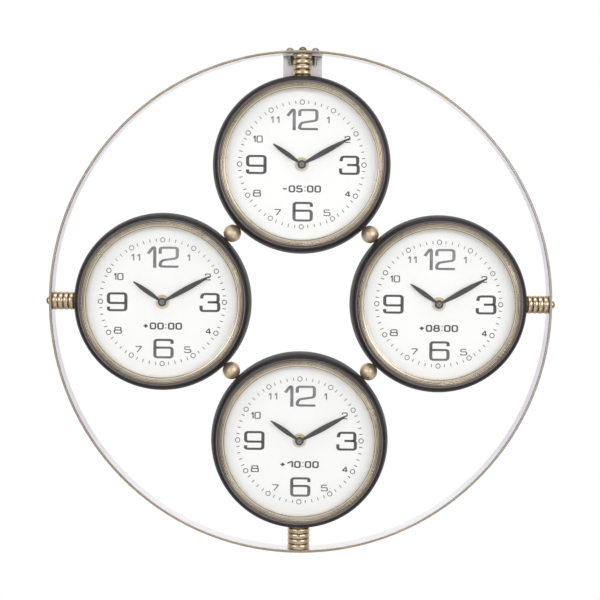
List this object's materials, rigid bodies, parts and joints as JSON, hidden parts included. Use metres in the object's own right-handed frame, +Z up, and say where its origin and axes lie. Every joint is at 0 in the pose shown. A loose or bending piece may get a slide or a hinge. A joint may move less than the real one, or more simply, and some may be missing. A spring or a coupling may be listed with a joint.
{
  "type": "wall clock",
  "caption": "Wall clock with round quartz clock heads in dark cases, joined by brass balls and held by ribbed posts inside a thin metal hoop, hung by a bent bracket",
  "frame": {"origin": "centre of the round part of the keyhole, in the back face of the hanging bracket, on the wall", "axes": "+Z up as it hangs, +Y into the wall, +X to the right for someone who reads the dials"},
  "size_m": [0.5084, 0.0349, 0.5042],
  "materials": {
    "dark_case": "dark bronze, satin, rubbed lighter at the lip",
    "bezel_brass": "antique brass, turned beads, dark in the grooves",
    "clear_glass": "clear float glass",
    "white_dial": "white printed sheet, satin",
    "movement_plastic": "black moulded plastic",
    "bright_brass": "bare turned brass",
    "black_hand": "black lacquered sheet",
    "shaft_steel": "drawn steel",
    "knob_plastic": "pale moulded plastic",
    "battery_jacket": "plain printed jacket, bare ends",
    "antique_brass": "antique brass, polished high and dark low",
    "hoop_finish": "antique brass finish on steel strip, paler inside",
    "zinc": "bright zinc plate",
    "galvanised_sheet": "galvanised steel sheet"
  },
  "bodies": {
    "minute_top": {"minute_arbor_top": "shaft_steel", "minute_hand_top": "black_hand"},
    "hour_top": {"hour_pipe_top": "bright_brass", "hour_hand_top": "black_hand"},
    "set_top": {"set_knob_top": "knob_plastic"},
    "minute_left": {"minute_arbor_left": "shaft_steel", "minute_hand_left": "black_hand"},
    "hour_left": {"hour_pipe_left": "bright_brass", "hour_hand_left": "black_hand"},
    "set_left": {"set_knob_left": "knob_plastic"},
    "minute_right": {"minute_arbor_right": "shaft_steel", "minute_hand_right": "black_hand"},
    "hour_right": {"hour_pipe_right": "bright_brass", "hour_hand_right": "black_hand"},
    "set_right": {"set_knob_right": "knob_plastic"},
    "minute_bottom": {"minute_arbor_bottom": "shaft_steel", "minute_hand_bottom": "black_hand"},
    "hour_bottom": {"hour_pipe_bottom": "bright_brass", "hour_hand_bottom": "black_hand"},
    "set_bottom": {"set_knob_bottom": "knob_plastic"},
    "clock_frame": {"case_top": "dark_case", "case_left": "dark_case", "case_right": "dark_case", "case_bottom": "dark_case", "bezel_top": "bezel_brass", "bezel_left": "bezel_brass", "bezel_right": "bezel_brass", "bezel_bottom": "bezel_brass", "glass_top": "clear_glass", "glass_left": "clear_glass", "glass_right": "clear_glass", "glass_bottom": "clear_glass", "dial_top": "white_dial", "dial_left": "white_dial", "dial_right": "white_dial", "dial_bottom": "white_dial", "movement_top": "movement_plastic", "movement_left": "movement_plastic", "movement_right": "movement_plastic", "movement_bottom": "movement_plastic", "fixing_nut_top": "bright_brass", "fixing_nut_left": "bright_brass", "fixing_nut_right": "bright_brass", "fixing_nut_bottom": "bright_brass", "battery_top": "battery_jacket", "battery_left": "battery_jacket", "battery_right": "battery_jacket", "battery_bottom": "battery_jacket", "ribbed_spacer_top": "antique_brass", "ribbed_spacer_left": "antique_brass", "ribbed_spacer_right": "antique_brass", "ribbed_spacer_bottom": "antique_brass", "outer_hoop": "hoop_finish", "link_balls": "antique_brass", "link_studs": "zinc", "dome_screws": "antique_brass", "bottom_screw": "antique_brass", "hexagon_nuts": "zinc", "bracket_screws": "zinc", "hanging_bracket": "galvanised_sheet"}
  },
  "joints": [
    {"name": "minute_top_turn", "type": "hinge", "parent": "clock_frame", "child": "minute_top", "pos_m": [0, 0, -0.0677], "axis": [0, 1, 0], "continuous": true},
    {"name": "hour_top_turn", "type": "hinge", "parent": "clock_frame", "child": "hour_top", "pos_m": [0, 0, -0.0677], "axis": [0, 1, 0], "continuous": true},
    {"name": "set_top_turn", "type": "hinge", "parent": "clock_frame", "child": "set_top", "pos_m": [0, 0, -0.0569], "axis": [0, 1, 0], "continuous": true},
    {"name": "minute_left_turn", "type": "hinge", "parent": "clock_frame", "child": "minute_left", "pos_m": [-0.1373, 0, -0.205], "axis": [0, 1, 0], "continuous": true},
    {"name": "hour_left_turn", "type": "hinge", "parent": "clock_frame", "child": "hour_left", "pos_m": [-0.1373, 0, -0.205], "axis": [0, 1, 0], "continuous": true},
    {"name": "set_left_turn", "type": "hinge", "parent": "clock_frame", "child": "set_left", "pos_m": [-0.1373, 0, -0.1942], "axis": [0, 1, 0], "continuous": true},
    {"name": "minute_right_turn", "type": "hinge", "parent": "clock_frame", "child": "minute_right", "pos_m": [0.1373, 0, -0.205], "axis": [0, 1, 0], "continuous": true},
    {"name": "hour_right_turn", "type": "hinge", "parent": "clock_frame", "child": "hour_right", "pos_m": [0.1373, 0, -0.205], "axis": [0, 1, 0], "continuous": true},
    {"name": "set_right_turn", "type": "hinge", "parent": "clock_frame", "child": "set_right", "pos_m": [0.1373, 0, -0.1942], "axis": [0, 1, 0], "continuous": true},
    {"name": "minute_bottom_turn", "type": "hinge", "parent": "clock_frame", "child": "minute_bottom", "pos_m": [0, 0, -0.3423], "axis": [0, 1, 0], "continuous": true},
    {"name": "hour_bottom_turn", "type": "hinge", "parent": "clock_frame", "child": "hour_bottom", "pos_m": [0, 0, -0.3423], "axis": [0, 1, 0], "continuous": true},
    {"name": "set_bottom_turn", "type": "hinge", "parent": "clock_frame", "child": "set_bottom", "pos_m": [0, 0, -0.3315], "axis": [0, 1, 0], "continuous": true}
  ],
  "couplings": [
    {"joint": "hour_top_turn", "follows": "minute_top_turn", "ratio": 0.083333},
    {"joint": "set_top_turn", "follows": "minute_top_turn", "ratio": -0.33333},
    {"joint": "hour_left_turn", "follows": "minute_left_turn", "ratio": 0.083333},
    {"joint": "set_left_turn", "follows": "minute_left_turn", "ratio": -0.33333},
    {"joint": "hour_right_turn", "follows": "minute_right_turn", "ratio": 0.083333},
    {"joint": "set_right_turn", "follows": "minute_right_turn", "ratio": -0.33333},
    {"joint": "hour_bottom_turn", "follows": "minute_bottom_turn", "ratio": 0.083333},
    {"joint": "set_bottom_turn", "follows": "minute_bottom_turn", "ratio": -0.33333}
  ]
}
